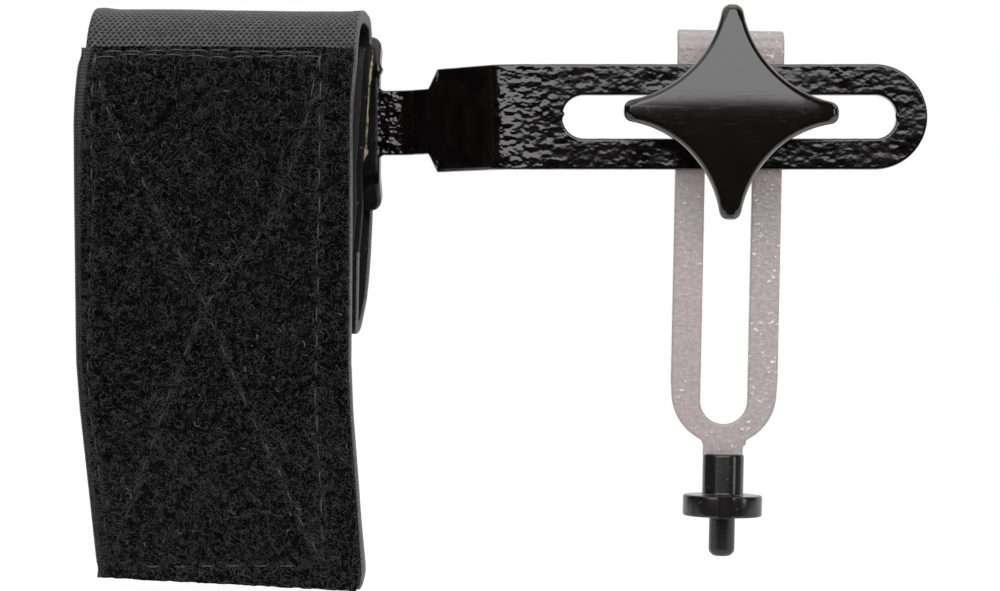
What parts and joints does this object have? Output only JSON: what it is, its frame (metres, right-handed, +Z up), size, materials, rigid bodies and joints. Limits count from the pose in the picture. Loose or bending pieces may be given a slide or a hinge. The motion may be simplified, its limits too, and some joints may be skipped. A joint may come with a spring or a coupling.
{
  "type": "bicycle wheel truing gauge",
  "caption": "Strap-on wheel truing gauge: slotted steel arm on a padded strap, with a sliding feeler bracket clamped by a four-pointed knob.",
  "frame": {"origin": "middle of the flat seat face at the back of the saddle, where the fork leg rests", "axes": "+X along the slotted arm away from the strap, -Y towards the knob and +Y into the fork leg's side, +Z up with the feeler hanging down"},
  "size_m": [0.1615, 0.052, 0.1117],
  "materials": {
    "arm_paint": "black hammertone enamel",
    "bracket_paint": "warm light grey hammertone enamel",
    "feeler_plastic": "satin moulded black",
    "bolt_steel": "zinc plated",
    "washer_steel": "zinc plated",
    "spring_steel": "zinc plated",
    "knob_plastic": "glossy black",
    "bush_brass": "turned",
    "web_fabric": "woven dark grey webbing",
    "loop_fabric": "black loop pile",
    "hook_fabric": "black hook tape",
    "adhesive": "dried amber contact adhesive"
  },
  "bodies": {
    "arm_body": {"arm": "arm_paint", "strap_web": "web_fabric", "loop_panel": "loop_fabric", "hook_panel": "hook_fabric", "adhesive_film": "adhesive"},
    "washer_body": {"flat_washer": "washer_steel"},
    "bolt_body": {"clamp_bolt": "bolt_steel"},
    "bracket_body": {"gauge_bracket": "bracket_paint", "feeler_tip": "feeler_plastic"},
    "spring_washer_body": {"spring_washer": "spring_steel"},
    "knob_body": {"star_knob": "knob_plastic", "knob_bush": "bush_brass"}
  },
  "joints": [
    {"name": "clamp_slide", "type": "slide", "parent": "arm_body", "child": "washer_body", "axis": [1, 0, 0], "range_m": [-0.0272, 0.0277]},
    {"name": "bracket_swivel", "type": "hinge", "parent": "washer_body", "child": "bolt_body", "pos_m": [0.089, -0.0235, 0.00012], "axis": [0, -1, 0], "range_deg": [-18, 180]},
    {"name": "bracket_slide", "type": "slide", "parent": "bolt_body", "child": "bracket_body", "axis": [0.0206, 0, 0.9998], "range_m": [-0.0003, 0.0503]},
    {"name": "knob_travel", "type": "slide", "parent": "bolt_body", "child": "spring_washer_body", "axis": [0, -1, 0], "range_m": [0, 0.0025]},
    {"name": "knob_turn", "type": "hinge", "parent": "spring_washer_body", "child": "knob_body", "pos_m": [0.089, -0.0301, 0.00012], "axis": [0, -1, 0], "range_deg": [0, 720]}
  ],
  "couplings": [
    {"joint": "knob_travel", "follows": "knob_turn", "m_per_rad": 0.0001989}
  ]
}
